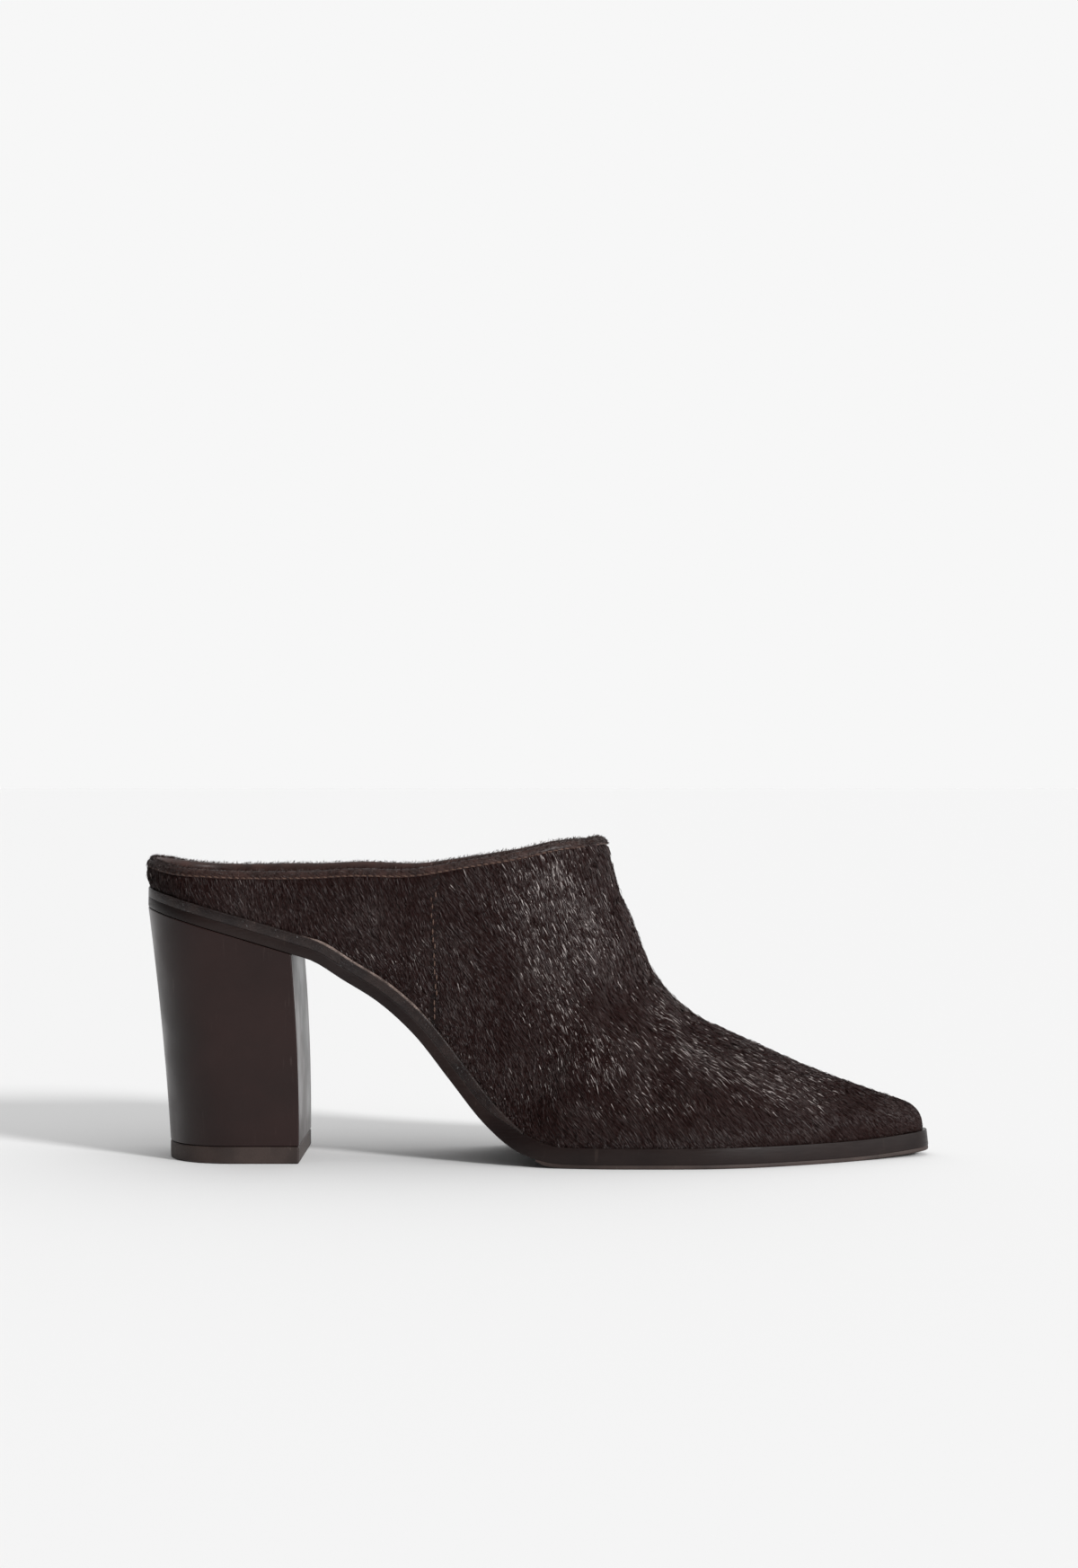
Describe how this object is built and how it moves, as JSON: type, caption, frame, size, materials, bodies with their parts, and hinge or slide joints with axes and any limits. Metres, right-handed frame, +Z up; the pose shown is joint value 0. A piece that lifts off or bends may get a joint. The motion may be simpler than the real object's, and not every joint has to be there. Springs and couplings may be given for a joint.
{
  "type": "mule pump",
  "caption": "Backless pointed mule pump with a low collar, a stitched topline binding, a bent leather sole and a high block heel.",
  "frame": {"origin": "on the floor under the middle of the shoe's box", "axes": "+X to the toe, +Y to the inner side, +Z up"},
  "size_m": [0.2501, 0.0808, 0.102],
  "materials": {
    "hair_on_calf": "short dark brown hair, combed to the toe",
    "binding_leather": "smooth folded strip, reddish brown",
    "sock_leather": "satin lining leather",
    "rand_leather": "fine grain, waxed",
    "painted_leather": "painted and polished edge",
    "rubber": "matt",
    "heel_paint": "smooth satin paint"
  },
  "bodies": {
    "root": {"upper": "hair_on_calf", "topline_binding": "binding_leather", "insole": "sock_leather", "rand": "rand_leather", "outsole": "painted_leather", "tread": "rubber", "heel_block": "heel_paint", "top_lift": "rubber"}
  },
  "joints": []
}
